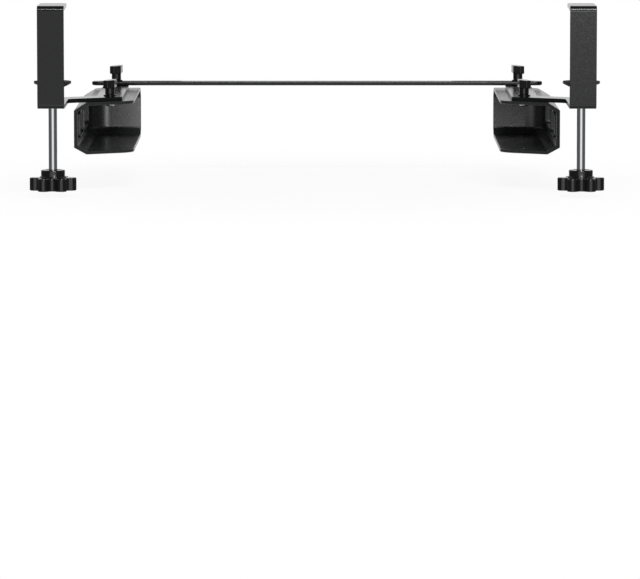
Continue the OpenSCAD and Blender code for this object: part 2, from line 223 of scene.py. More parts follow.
def add(tree, kind, inputs=None, **settings):
    """Adds a node with its settings, and sets each of its inputs to a value or links it to a socket."""
    node = tree.nodes.new(kind)
    for name, value in settings.items():
        setattr(node, name, value)
    for key, value in (inputs or {}).items():
        if isinstance(value, bpy.types.NodeSocket):
            tree.links.new(value, node.inputs[key])
        else:
            node.inputs[key].default_value = value
    return node


def new_material(name):
    """A material with its node tree, its principled shader and the object coordinates for its patterns."""
    material = bpy.data.materials.new(name)
    material.use_nodes = True
    tree = material.node_tree
    tree.nodes.clear()
    shader = add(tree, "ShaderNodeBsdfPrincipled")
    add(tree, "ShaderNodeOutputMaterial", {"Surface": shader.outputs[0]})
    return material, tree, shader, add(tree, "ShaderNodeTexCoord").outputs["Object"]


def surface(tree, shader, pattern, colours, roughness, relief=None, strength=0.0, depth=0.0):
    """Lets colour and roughness follow a pattern between two levels, and raises the skin by a relief."""
    ramp = add(tree, "ShaderNodeValToRGB", {"Fac": pattern})
    for element, place, tone in zip(ramp.color_ramp.elements, (NOISE_LOW, NOISE_HIGH), colours):
        element.position = place
        element.color = tone
    tree.links.new(ramp.outputs[0], shader.inputs["Base Color"])
    gloss = add(
        tree, "ShaderNodeMapRange",
        {"Value": pattern, "From Min": NOISE_LOW, "From Max": NOISE_HIGH,
         "To Min": roughness[0], "To Max": roughness[1]})
    tree.links.new(gloss.outputs[0], shader.inputs["Roughness"])
    if relief:
        bump = add(tree, "ShaderNodeBump", {"Height": relief, "Strength": strength, "Distance": depth})
        tree.links.new(bump.outputs[0], shader.inputs["Normal"])


def shades(base, dark, light):
    """A darker and a lighter shade of a linear colour."""
    return [tuple(min(1.0, c * factor) for c in base[:3]) + (1.0,) for factor in (dark, light)]


def powder_coated_steel(finish):
    """Polyester powder coat, sprayed and baked: near black, satin, with a fine pebbled skin that sparkles."""
    material, tree, shader, place = new_material("Powder coated steel, fine texture")
    # the real pebbles are about 0.5 mm, drawn 1.5 mm wide so that they show at the photograph's size
    pebble = add(
        tree, "ShaderNodeTexNoise",
        {"Vector": place, "Scale": 1.0 / (1.5 * MM), "Detail": 3.0, "Roughness": 0.6}).outputs[0]
    surface(
        tree, shader, pebble, shades(finish.coat, 0.7, 1.4), roughness=(0.13, 0.21), relief=pebble,
        strength=0.2, depth=0.1 * MM)
    shader.inputs["IOR"].default_value = 1.5
    shader.inputs["Specular IOR Level"].default_value = 0.3
    return material


def spark_textured_abs(finish):
    """ABS moulded in a spark-eroded mould: dark grey, fine even grain, soft sheen at low angles."""
    material, tree, shader, place = new_material("Moulded ABS, spark texture")
    # the real grain is about 0.3 mm, drawn 1.1 mm wide so that it shows at the photograph's size
    pits = add(
        tree, "ShaderNodeTexNoise",
        {"Vector": place, "Scale": 1.0 / (1.1 * MM), "Detail": 3.0, "Roughness": 0.65}).outputs[0]
    surface(
        tree, shader, pits, shades(finish.tray, 0.7, 1.35), roughness=(0.23, 0.31), relief=pits,
        strength=0.03, depth=0.04 * MM)
    shader.inputs["IOR"].default_value = 1.53
    return material


def polished_mould_nylon(finish):
    """Glass filled nylon from a polished mould: black, semi gloss, faintly rippled as the melt flowed."""
    material, tree, shader, place = new_material("Moulded nylon, semi gloss")
    ripple, fibre = (
        add(tree, "ShaderNodeTexNoise", {"Vector": place, "Scale": 1.0 / size, "Detail": 2.0}).outputs[0]
        for size in (4 * MM, 0.8 * MM))
    surface(
        tree, shader, fibre, shades(finish.knob, 0.85, 1.25), roughness=(0.13, 0.18), relief=ripple,
        strength=0.05, depth=0.1 * MM)
    shader.inputs["IOR"].default_value = 1.57
    return material


def zinc_plated_steel(finish):
    """Drawn steel rod with bright zinc: near white mirror, with faint drawing lines along the rod."""
    material, tree, shader, place = new_material("Bright zinc plated steel, drawn")
    # drawing lines 0.4 mm apart round the rod and long along it
    stretched = add(tree, "ShaderNodeMapping", {"Vector": place, "Scale": (1.0, 1.0, 0.02)}).outputs[0]
    lines = add(tree, "ShaderNodeTexNoise", {"Vector": stretched, "Scale": 1.0 / (0.4 * MM)}).outputs[0]
    surface(tree, shader, lines, shades(finish.plating, 0.92, 1.0), roughness=(0.08, 0.14))
    shader.inputs["Metallic"].default_value = 1.0
    return material


def moulded_rubber(finish):
    """Moulded nitrile rubber: black, matt, with a dusty bloom in patches."""
    material, tree, shader, place = new_material("Moulded nitrile rubber, matt")
    bloom, skin = (
        add(tree, "ShaderNodeTexNoise", {"Vector": place, "Scale": 1.0 / size, "Detail": 3.0}).outputs[0]
        for size in (9 * MM, 0.9 * MM))
    surface(
        tree, shader, bloom, shades(finish.rubber, 0.9, 1.35), roughness=(0.72, 0.85), relief=skin,
        strength=0.3, depth=0.1 * MM)
    return material


MAKERS = {
    "black_steel": powder_coated_steel,
    "tray_plastic": spark_textured_abs,
    "black_plastic": polished_mould_nylon,
    "bright_steel": zinc_plated_steel,
    "black_rubber": moulded_rubber,
}
finishes = {}


def material_for(context, slot_name):
    """The material of a slot in the record, made once."""
    if slot_name not in finishes:
        finishes[slot_name] = MAKERS[slot_name](context.scene.shelf_finish)
    return finishes[slot_name]


# Meshes

# a modifier's kind and settings: keeps flat faces shaded flat beside their rounded edges
FLAT_FACES = ("WEIGHTED_NORMAL", {"keep_sharp": True, "weight": 100})


def linked(context, name, data):
    """A new object with its data, in the scene."""
    holder = bpy.data.objects.new(name, data)
    context.scene.collection.objects.link(holder)
    return holder


def place_piece(context, name, mesh, body, slot_name, node_name):
    """Puts a finished mesh in the scene, on its body, in place of its CAD node."""
    if not mesh.polygons:
        raise RuntimeError(f"{name} has no faces")
    piece = linked(context, name, mesh)
    mesh.materials.clear()
    mesh.materials.append(material_for(context, slot_name))
    for polygon in mesh.polygons:
        polygon.material_index = 0
    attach(piece, body)
    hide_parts(node_name)


def from_bmesh(work, name):
    """A mesh from an edit mesh, with doubles merged and all faces turned outwards."""
    bmesh.ops.remove_doubles(work, verts=work.verts, dist=SAME_POINT)
    bmesh.ops.recalc_face_normals(work, faces=work.faces)
    mesh = bpy.data.meshes.new(name)
    work.to_mesh(mesh)
    work.free()
    return mesh


def edit_of(mesh):
    """An edit mesh of a mesh."""
    work = bmesh.new()
    work.from_mesh(mesh)
    return work


def mirrored(mesh):
    """The mirror image of a mesh, across the middle of the shelf."""
    work = edit_of(mesh)
    bmesh.ops.transform(work, matrix=Matrix.Scale(-1, 4, (1, 0, 0)), verts=work.verts)
    bmesh.ops.reverse_faces(work, faces=work.faces)
    return from_bmesh(work, mesh.name)


def smooth(mesh):
    """The same mesh, shaded smooth."""
    for polygon in mesh.polygons:
        polygon.use_smooth = True
    return mesh


def applied(context, mesh, modifiers):
    """The mesh with a list of modifiers applied, each given as kind and settings, as a new mesh."""
    holder = linked(context, "holder", mesh)
    for kind, settings in modifiers:
        modifier = holder.modifiers.new(kind.title(), kind)
        for name, value in settings.items():
            setattr(modifier, name, value)
    evaluated = holder.evaluated_get(context.evaluated_depsgraph_get())
    result = bpy.data.meshes.new_from_object(evaluated)
    bpy.data.objects.remove(holder)
    return result


def rounded(context, mesh, edge, sharper_than):
    """The mesh with all edges rounded that turn by more than an angle in degrees."""
    bevel = {
        "width": edge, "segments": 3, "limit_method": "ANGLE", "angle_limit": math.radians(sharper_than),
        "use_clamp_overlap": False, "loop_slide": False, "miter_outer": "MITER_ARC"}
    return applied(context, smooth(mesh), [("BEVEL", bevel), FLAT_FACES])


def rounded_pair(context, right_mesh, name, body, slot_name, node_name, edge, sharper_than=25):
    """Places a right piece and its mirror image with their edges rounded, each in place of its CAD node."""
    for side, mesh in (("right", right_mesh), ("left", mirrored(right_mesh))):
        mesh = rounded(context, mesh, edge, sharper_than)
        place_piece(context, f"{side}_{name}", mesh, f"{side}_{body}", slot_name, f"{side}_{node_name}")


def joined(context, mesh, other, operation):
    """The mesh united with another one, or with the other one cut away."""
    tool = linked(context, "tool", other)
    boolean = {"object": tool, "operation": operation, "solver": "EXACT"}
    result = applied(context, mesh, [("BOOLEAN", boolean)])
    bpy.data.objects.remove(tool)
    return from_bmesh(edit_of(result), mesh.name)


def whole_faces(mesh):
    """The mesh with its loose triangles joined and flat faces made whole."""
    still_flat = math.radians(0.4)
    work = edit_of(mesh)
    bmesh.ops.remove_doubles(work, verts=work.verts, dist=2 * SAME_POINT)
    bmesh.ops.dissolve_limit(
        work, angle_limit=still_flat, verts=work.verts, edges=work.edges, delimit={"NORMAL"})
    return from_bmesh(work, mesh.name)


def merged_copy(node_name):
    """A copy of a CAD node's mesh, ready for its edges to be rounded."""
    return whole_faces(nodes[node_name].data)


def round_sizes(node_name):
    """Foot, radius and height of a round CAD node that stands upright."""
    low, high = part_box(node_name)
    foot = Vector(((low.x + high.x) / 2, (low.y + high.y) / 2, low.z))
    return foot, high.x - foot.x, high.z - low.z


def arc(centre, radius, start, end, steps):
    """Points on an arc, angles in degrees."""
    return [
        (centre[0] + radius * math.cos(math.radians(a)), centre[1] + radius * math.sin(math.radians(a)))
        for a in (start + (end - start) * i / steps for i in range(steps + 1))]


def corner_round(before, here, after, radius, steps):
    """Points of the round that replaces a corner of a line."""
    before, here, after = Vector(before), Vector(here), Vector(after)
    u, v = (before - here).normalized(), (after - here).normalized()
    half = u.angle(v) / 2
    middle = here + (u + v).normalized() * radius / math.sin(half)
    start = here + u * radius / math.tan(half) - middle
    end = here + v * radius / math.tan(half) - middle
    return [tuple(middle + start.slerp(end, i / steps).normalized() * radius) for i in range(steps + 1)]


def round_line(corners, steps=6):
    """An open line through corners given as x, y and rounding."""
    points = []
    for i, (x, y, rounding) in enumerate(corners):
        if rounding == 0:
            points.append((x, y))
        else:
            points += corner_round(corners[i - 1][:2], (x, y), corners[i + 1][:2], rounding, steps)
    return points


def prism(work, outline, shift):
    """Adds an outline drawn along a shift, closed at both ends."""
    base = [work.verts.new(p) for p in outline]
    far = [work.verts.new(Vector(p) + Vector(shift)) for p in outline]
    work.faces.new(base)
    work.faces.new(list(reversed(far)))
    for i in range(len(base)):
        j = (i + 1) % len(base)
        work.faces.new((base[i], far[i], far[j], base[j]))


# Turned pieces


def arc_steps(name, distance, radius, off_axis, side):
    """Arithmetic for how far out an arc lies, in a direction turned off_axis from the arc's middle."""
    return [
        (f"{name} sine", "SINE", off_axis), (f"{name} cosine", "COSINE", off_axis),
        (f"{name} across", "MULTIPLY", distance, f"{name} sine"),
        (f"{name} along", "MULTIPLY", distance, f"{name} cosine"),
        (f"{name} square", "MULTIPLY", radius, radius),
        (f"{name} across square", "MULTIPLY", f"{name} across", f"{name} across"),
        (f"{name} rest", "SUBTRACT", f"{name} square", f"{name} across square"),
        (f"{name} real rest", "MAXIMUM", f"{name} rest", 0.0),
        (f"{name} root", "SQRT", f"{name} real rest"),
        (name, side, f"{name} along", f"{name} root")]


def turned_tree():
    """Geometry Nodes: turns a profile round the upright axis at Place. A profile point gives the radius as x,
    the height as z and the share of the star shape as y. Where that is 1, x is measured inwards from a star
    outline of lobes joined by hollows."""
    tree = bpy.data.node_groups.new("Turned piece", "GeometryNodeTree")
    tree.interface.new_socket(name="Geometry", in_out="OUTPUT", socket_type="NodeSocketGeometry")
    for name, kind, default in (
            ("Profile", "Geometry", None), ("Segments", "Int", 96), ("Lobes", "Int", 6),
            ("Lobe ring", "Float", 0.017), ("Lobe radius", "Float", 0.005),
            ("Hollow radius", "Float", 0.0045), ("Place", "Vector", None), ("Material", "Material", None)):
        socket = tree.interface.new_socket(name=name, in_out="INPUT", socket_type=f"NodeSocket{kind}")
        if default is not None:
            socket.default_value = default
    # sockets by name, first those that the tree is given and then each result
    wires = {socket.name: socket for socket in add(tree, "NodeGroupInput").outputs}
    size = add(tree, "GeometryNodeAttributeDomainSize", {"Geometry": wires["Profile"]})
    wires["rows"] = size.outputs["Point Count"]
    wires["index"] = add(tree, "GeometryNodeInputIndex").outputs[0]
    read = add(
        tree, "GeometryNodeSampleIndex", {"Geometry": wires["Profile"]}, data_type="FLOAT_VECTOR",
        domain="POINT")
    tree.links.new(add(tree, "GeometryNodeInputPosition").outputs[0], read.inputs["Value"])
    point = add(tree, "ShaderNodeSeparateXYZ", {"Vector": read.outputs[0]}).outputs
    wires["inset"], wires["star share"], wires["height"] = point

    # the arithmetic: each step has its name, its operation, and the names or numbers that it takes
    steps = [
        ("columns", "ADD", "Segments", 1.0),
        ("row", "MODULO", "index", "rows"),
        ("rows passed", "DIVIDE", "index", "rows"), ("column", "FLOOR", "rows passed"),
        ("part turn", "DIVIDE", "column", "Segments"), ("turn", "MULTIPLY", "part turn", math.tau),
        ("turn sine", "SINE", "turn"), ("turn cosine", "COSINE", "turn"),
        # the ring on which the hollows stand
        ("step", "DIVIDE", math.tau, "Lobes"), ("half", "MULTIPLY", "step", 0.5),
        ("half sine", "SINE", "half"), ("half cosine", "COSINE", "half"),
        ("reach", "ADD", "Lobe radius", "Hollow radius"), ("reach square", "MULTIPLY", "reach", "reach"),
        ("chord", "MULTIPLY", "Lobe ring", "half sine"), ("chord square", "MULTIPLY", "chord", "chord"),
        ("rest", "SUBTRACT", "reach square", "chord square"), ("root", "SQRT", "rest"),
        ("foot", "MULTIPLY", "Lobe ring", "half cosine"), ("hollow ring", "ADD", "foot", "root"),
        # the angles from the nearest lobe and the nearest hollow
        ("shifted", "ADD", "turn", "half"), ("past", "MODULO", "shifted", "step"),
        ("past lobe", "SUBTRACT", "past", "half"), ("off lobe", "ABSOLUTE", "past lobe"),
        ("off hollow", "SUBTRACT", "half", "off lobe"),
        *arc_steps("on lobe", "Lobe ring", "Lobe radius", "off lobe", "ADD"),
        *arc_steps("on hollow", "hollow ring", "Hollow radius", "off hollow", "SUBTRACT"),
        # the seam where a lobe's arc gives way to a hollow's
        ("lobe share", "DIVIDE", "Lobe radius", "reach"),
        ("far x", "MULTIPLY", "hollow ring", "half cosine"), ("gap x", "SUBTRACT", "far x", "Lobe ring"),
        ("part x", "MULTIPLY", "lobe share", "gap x"), ("seam x", "ADD", "Lobe ring", "part x"),
        ("far y", "MULTIPLY", "hollow ring", "half sine"), ("seam y", "MULTIPLY", "lobe share", "far y"),
        ("seam", "ARCTAN2", "seam y", "seam x"), ("past seam", "GREATER_THAN", "off lobe", "seam"),
        ("before seam", "SUBTRACT", 1.0, "past seam"),
        ("hollow part", "MULTIPLY", "on hollow", "past seam"),
        ("lobe part", "MULTIPLY", "on lobe", "before seam"), ("star", "ADD", "hollow part", "lobe part"),
        # the radius, of the star or of a plain round
        ("in star", "SUBTRACT", "star", "inset"), ("star part", "MULTIPLY", "in star", "star share"),
        ("round share", "SUBTRACT", 1.0, "star share"), ("round part", "MULTIPLY", "inset", "round share"),
        ("radius", "ADD", "star part", "round part"),
        ("x", "MULTIPLY", "radius", "turn cosine"), ("y", "MULTIPLY", "radius", "turn sine")]
    for name, operation, *values in steps:
        inputs = {i: wires.get(value, value) for i, value in enumerate(values)}
        wires[name] = add(tree, "ShaderNodeMath", inputs, operation=operation).outputs[0]

    tree.links.new(wires["row"], read.inputs["Index"])
    grid = add(
        tree, "GeometryNodeMeshGrid",
        {"Vertices X": wires["columns"], "Vertices Y": wires["rows"]}).outputs["Mesh"]
    spot = add(tree, "ShaderNodeCombineXYZ", {0: wires["x"], 1: wires["y"], 2: wires["height"]}).outputs[0]
    spot = add(tree, "ShaderNodeVectorMath", {0: spot, 1: wires["Place"]}, operation="ADD").outputs[0]
    moved = add(tree, "GeometryNodeSetPosition", {"Geometry": grid, "Position": spot}).outputs[0]
    closed = add(tree, "GeometryNodeMergeByDistance", {"Geometry": moved, "Distance": SAME_POINT}).outputs[0]
    soft = add(tree, "GeometryNodeSetShadeSmooth", {"Geometry": closed}).outputs[0]
    real = add(tree, "GeometryNodeRealizeInstances", {"Geometry": soft}).outputs[0]
    finished = add(
        tree, "GeometryNodeSetMaterial", {"Geometry": real, "Material": wires["Material"]}).outputs[0]
    add(tree, "NodeGroupOutput", {"Geometry": finished})
    return tree


def plain(line):
    """A line of radius and height as profile points without a share of the star."""
    return [(r, 0.0, z) for r, z in line]


def profile(corners):
    """Profile points through corners given as radius, height and rounding."""
    return plain(round_line(corners, steps=5))


def turned(context, points, place, slot_name, segments=96, **star):
    """A mesh turned from profile points by the Geometry Nodes tree."""
    tree = bpy.data.node_groups.get("Turned piece") or turned_tree()
    line = bpy.data.meshes.new("profile")
    line.from_pydata(points, [(i, i + 1) for i in range(len(points) - 1)], [])
    holder = linked(context, "holder", line)
    modifier = holder.modifiers.new("Turned piece", "NODES")
    modifier.node_group = tree
    values = {"Segments": segments, "Place": place, "Material": material_for(context, slot_name), **star}
    for item in tree.interface.items_tree:
        if item.item_type == "SOCKET" and item.in_out == "INPUT" and item.name in values:
            modifier[item.identifier] = values[item.name]
    evaluated = holder.evaluated_get(context.evaluated_depsgraph_get())
    mesh = from_bmesh(edit_of(bpy.data.meshes.new_from_object(evaluated)), "turned")
    bpy.data.objects.remove(holder)
    return applied(context, smooth(mesh), [FLAT_FACES])


def turned_piece(context, name, points, body, slot_name, node_name, **shape):
    """Places a piece that is turned round the axis of the CAD node it replaces."""
    mesh = turned(context, points, round_sizes(node_name)[0], slot_name, **shape)
    place_piece(context, name, mesh, body, slot_name, node_name)


# Trays


def tray_shell(cfg):
    """The right tray as a C section swept along the outer wall and round the closed corner. It is open to the
    front and to the middle, and its front edge slants back."""
    low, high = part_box("right_tray")
    slope = math.atan2(cfg.slope_h, cfg.slope_w)
    rise = cfg.wall * math.tan((math.pi / 2 - slope) / 2)
    run = cfg.slope_w + cfg.wall * math.tan(slope / 2)
    outside = round_line([
        (cfg.slope_w, low.z, 0), (0, low.z + cfg.slope_h, 0),
        (0, high.z - cfg.slope_h, 0), (cfg.slope_w, high.z, 0)])
    inset = run + cfg.gutter_r
    inside = round_line([
        (inset, low.z + cfg.wall, 0), (run, low.z + cfg.wall, cfg.gutter_r),
        (cfg.wall, low.z + cfg.slope_h + rise, cfg.crease_r),
        (cfg.wall, high.z - cfg.slope_h - rise, cfg.crease_r),
        (run, high.z - cfg.wall, cfg.gutter_r), (inset, high.z - cfg.wall, 0)])
    centre = (high.x - cfg.back_r, high.y - cfg.back_r)

    def front_at(x):
        return low.y + (high.x - x) * math.tan(cfg.sweep)

    def lane(inset, z):
        plan = [(high.x - inset, front_at(high.x - inset))]
        plan += arc(centre, cfg.back_r - inset, 0, 90, cfg.steps) + [(low.x, high.y - inset)]
        return [(x, y, z) for x, y in plan]

    # the open corner, from the inner edge round to the slanted front edge, on which beyond is any far point
    beyond = (low.x + 1, front_at(low.x + 1))
    bend = corner_round((low.x, high.y), (low.x, front_at(low.x)), beyond, cfg.front_r, cfg.steps // 2)
    work = bmesh.new()
    rims = []
    for section in (outside, inside):
        lanes = [[work.verts.new(p) for p in lane(*corner)] for corner in section]
        for a, b in zip(lanes, lanes[1:]):
            for i in range(len(a) - 1):
                work.faces.new((a[i], a[i + 1], b[i + 1], b[i]))
        floor_bend = [work.verts.new((x, y, section[0][1])) for x, y in bend]
        roof_bend = [work.verts.new((x, y, section[-1][1])) for x, y in bend]
        work.faces.new(lanes[0] + floor_bend)
        work.faces.new(lanes[-1] + roof_bend)
        rims.append((
            [line[-1] for line in lanes], roof_bend, [line[0] for line in reversed(lanes)], floor_bend[::-1]))
    # the rim between the outer and the inner shell, on all four stretches of the open side
    outer, inner = rims
    for outer_part, inner_part in zip(outer, inner):
        stitch(work, outer_part, inner_part)
    # a small face closes the rim where two stretches meet
    for i in range(4):
        after = (i + 1) % 4
        work.faces.new((outer[i][-1], outer[after][0], inner[after][0], inner[i][-1]))
    return from_bmesh(work, "tray")


def stitch(work, a, b):
    """Joins two rows of points by faces, and takes the shorter diagonal where one row has more points."""
    i = j = 0
    while i < len(a) - 1 or j < len(b) - 1:
        step_a, step_b = i < len(a) - 1, j < len(b) - 1
        if step_a and step_b and len(a) != len(b):
            step_a = (a[i + 1].co - b[j].co).length < (a[i].co - b[j + 1].co).length
            step_b = not step_a
        ring = [a[i]] + ([a[i + 1]] if step_a else []) + ([b[j + 1]] if step_b else []) + [b[j]]
        work.faces.new(ring)
        i += step_a
        j += step_b


def window_solids(cfg, x1, x2, margin):
    """Both windows of the right tray's outer wall, as solids between two x places, drawn out by a margin."""
    low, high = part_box("right_tray")
    middle = (low.z + high.z) / 2 + cfg.window_rise
    z1, z2 = middle - cfg.window_h / 2 - margin, middle + cfg.window_h / 2 + margin
    front = low.y + cfg.window_lead
    mid = front + cfg.window_l
    back = high.y - cfg.back_r - cfg.window_tail
    r, quarter_steps = cfg.window_r + margin, 8
    work = bmesh.new()
    for y1, y2 in ((front - margin, mid + margin), (mid + cfg.window_rib - margin, back + margin)):
        corners = ((y2 - r, z2 - r, 0), (y1 + r, z2 - r, 90), (y1 + r, z1 + r, 180), (y2 - r, z1 + r, 270))
        ring = []
        for y, z, start in corners:
            ring += arc((y, z), r, start, start + 90, quarter_steps)
        prism(work, [(x1, y, z) for y, z in ring], (x2 - x1, 0, 0))
    return from_bmesh(work, "windows")


def tray_mesh(context):
    """The right tray, moulded in one: shell, window frames, windows, screw holes and screwdriver holes."""
    cfg = context.scene.shelf_tray
    low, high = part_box("right_tray")
    # how far a cutting solid stands out of the wall that it cuts
    over = cfg.wall / 3
    frame_x = high.x - cfg.wall - cfg.frame_t
    frames = window_solids(cfg, frame_x, high.x - over, cfg.frame_w)
    mesh = joined(context, tray_shell(cfg), frames, "UNION")
    mesh = joined(context, mesh, window_solids(cfg, frame_x - over, high.x + over, 0), "DIFFERENCE")
    holes, hole_corners = bmesh.new(), 48
    for node_name in ("right_front_screw", "right_rear_screw"):
        spot = round_sizes(node_name)[0]
        for radius, z in ((cfg.hole_r, high.z - cfg.wall - over), (cfg.access_r, low.z - over)):
            ring = arc(spot, radius, 0, 360, hole_corners)[:-1]
            prism(holes, [(x, y, z) for x, y in ring], (0, 0, cfg.wall + 2 * over))
    return whole_faces(joined(context, mesh, from_bmesh(holes, "holes"), "DIFFERENCE"))


# Profiles of the round pieces


def star_profile(knob, edge):
    """Profile of the star knob, from the bore in its recess down, round the lobes and up the collar."""
    top, full = knob.lobe_h, knob.lobe_h + knob.collar_h
    step_r = knob.collar_r + knob.shoulder
    low_edge, high_edge = 1.3 * edge, 1.8 * edge
    inner = profile([
        (knob.bore_r, knob.recess_d, 0), (knob.recess_r, knob.recess_d, 0), (knob.recess_r, 0, 0)])
    # the star part is drawn with its inset running outwards, so the corners are given as minus the inset
    lobes = round_line([(-knob.lobe_r, 0, 0), (0, 0, low_edge), (0, top, high_edge), (-knob.lobe_r, top, 0)])
    lobes = [(-x, 1.0, z) for x, z in lobes[1:-1]]
    collar = profile([
        (step_r, top, 0), (step_r, top + knob.shoulder, edge), (knob.collar_r, top + knob.shoulder, 0),
        (knob.collar_r, full, high_edge), (knob.bore_r, full, 0), (knob.bore_r, knob.recess_d, 0)])
    return inner + lobes + collar


def hub_profile(pad, bore_r, edge, hub_r, height):
    """Profile of a pad's hub, from the rod's seat down, up the side and round the ball."""
    neck_angle = math.degrees(math.acos(pad.neck_r / pad.ball_r))
    hub = profile([
        (0, pad.seat, 0), (bore_r, pad.seat, 0), (bore_r, 0, 0), (hub_r, 0, edge / 2),
        (hub_r, pad.hub_h, edge), (pad.neck_r, pad.hub_h, 0)])
    return hub + plain(arc((0, height - pad.ball_r), pad.ball_r, -neck_angle, 90, BALL_STEPS))


def pad_profile(pad, edge, pad_r, height, ball_z):
    """Profile of a pressure pad: ball socket, bowed underside, rim and top."""
    socket_r = pad.ball_r + pad.ball_gap
    mouth = math.degrees(math.asin(pad.grip / socket_r))
    bowl_r = socket_r + pad.mouth
    rim_z = height - pad.rim
    bow_steps = 16
    shares = [i / bow_steps for i in range(bow_steps)]
    bow = [(bowl_r + (pad_r - edge / 2 - bowl_r) * share, rim_z * share ** pad.bow) for share in shares]
    rim = profile([
        (pad_r - edge / 2, rim_z, 0), (pad_r, rim_z + edge / 2, 0), (pad_r, height, 0), (0, height, 0)])
    return plain(arc((0, ball_z), socket_r, 90, -mouth, BALL_STEPS) + bow) + rim


def screw_profile(screw, edge, head_r, height):
    """Profile of a pan head screw that stands on its head: dome, cheek and shaft."""
    dome_z, dome_steps = screw.head_h - screw.cheek, 10
    angles = [math.radians(90 - 90 / dome_steps * i) for i in range(dome_steps + 1)]
    return plain((head_r * math.cos(a), dome_z * (1 - math.sin(a))) for a in angles) + profile([
        (head_r, screw.head_h, 0), (screw.shaft_r, screw.head_h, 0), (screw.shaft_r, height, edge),
        (0, height, 0)])


def washer_profile(hole_r, edge, washer_r, height):
    """Profile of a flat washer, once round from the middle of its hole."""
    return profile([
        (hole_r, height / 2, 0), (hole_r, 0, 0), (washer_r, 0, edge / 3), (washer_r, height, edge / 2),
        (hole_r, height, edge / 3), (hole_r, height / 2, 0)])


def cross_solid(screw, place):
    """The cross recess of a screw as a solid, half of it under the head."""
    tip, side = screw.cross_l / 2, screw.cross_w / 2
    quarter = [Vector((tip, -side)), Vector((tip, side)), Vector((side, side))]
    outline = [Matrix.Rotation(math.pi / 2 * turn, 2) @ point for turn in range(4) for point in quarter]
    foot = [(place.x + x, place.y + y, place.z - screw.cross_d) for x, y in outline]
    work = bmesh.new()
    prism(work, foot, (0, 0, 2 * screw.cross_d))
    return from_bmesh(work, "cross")


# Operators for the pieces


class SHELF_OT_steel(bpy.types.Operator):
    """Bent clamp strips and the cross bar, with their edges rounded"""

    bl_idname = "shelf.steel"
    bl_label = "Steel strips and bar"

    def execute(self, context):
        edge = context.scene.shelf_edge
        strip = merged_copy("right_bracket")
        rounded_pair(context, strip, "clamp_strip", "side", "black_steel", "bracket", edge.strip)
        bar = rounded(context, merged_copy("cross_bar"), edge.bar, sharper_than=25)
        place_piece(context, "slotted_bar", bar, "bar", "black_steel", "cross_bar")
        return {"FINISHED"}


class SHELF_OT_trays(bpy.types.Operator):
    """Moulded side trays with sloped edges and cable windows"""

    bl_idname = "shelf.trays"
    bl_label = "Side trays"

    def execute(self, context):
        rounded_pair(
            context, tray_mesh(context), "side_tray", "side", "tray_plastic", "tray",
            context.scene.shelf_edge.tray, sharper_than=20)
        return {"FINISHED"}


class SHELF_OT_clamps(bpy.types.Operator):
    """Clamp rods with their star knobs and caps, turned by one Geometry Nodes tree"""

    bl_idname = "shelf.clamps"
    bl_label = "Clamp rods and star knobs"

    def execute(self, context):
        knob, edge = context.scene.shelf_knob, context.scene.shelf_edge.knob
        star = {
            "Lobes": knob.lobes, "Lobe ring": knob.ring, "Lobe radius": knob.lobe_r,
            "Hollow radius": knob.hollow_r}
        for side in SIDES:
            body = f"{side}_spindle"
            _, rod_r, height = round_sizes(f"{side}_spindle")
            rod = profile([(0, 0, 0), (rod_r, 0, edge), (rod_r, height, edge), (0, height, 0)])
            turned_piece(context, f"{side}_clamp_rod", rod, body, "bright_steel", f"{side}_spindle")
            turned_piece(
                context, f"{side}_clamp_knob", star_profile(knob, edge), body, "black_plastic",
                f"{side}_star_knob", segments=knob.segments, **star)
            _, cap_r, height = round_sizes(f"{side}_knob_cap")
            cap = profile([(0, 0, 0), (cap_r, 0, edge / 2), (cap_r, height, 0), (0, height, 0)])
            turned_piece(context, f"{side}_cover_cap", cap, body, "black_plastic", f"{side}_knob_cap")
        return {"FINISHED"}


class SHELF_OT_pads(bpy.types.Operator):
    """Pressure pads on their ball hubs, turned by the same Geometry Nodes tree"""

    bl_idname = "shelf.pads"
    bl_label = "Pressure pads"

    def execute(self, context):
        pad, edge = context.scene.shelf_pad, context.scene.shelf_edge.knob
        for side in SIDES:
            foot, hub_r, height = round_sizes(f"{side}_pad_hub")
            ball_z = foot.z + (height - pad.ball_r)
            hub = hub_profile(pad, context.scene.shelf_knob.bore_r, edge, hub_r, height)
            turned_piece(context, f"{side}_ball_hub", hub, f"{side}_hub", "black_plastic", f"{side}_pad_hub")

            node_name = f"{side}_pressure_pad"
            foot, pad_r, height = round_sizes(node_name)
            disc = pad_profile(pad, edge, pad_r, height, ball_z - foot.z)
            turned_piece(context, f"{side}_clamp_pad", disc, f"{side}_pad", "black_plastic", node_name)

            node_name = f"{side}_pad_face"
            _, face_r, height = round_sizes(node_name)
            face = profile([(0, 0, 0), (face_r, 0, 0), (face_r, height, edge / 2), (0, height, 0)])
            turned_piece(context, f"{side}_pad_liner", face, f"{side}_pad", "black_rubber", node_name)
        return {"FINISHED"}


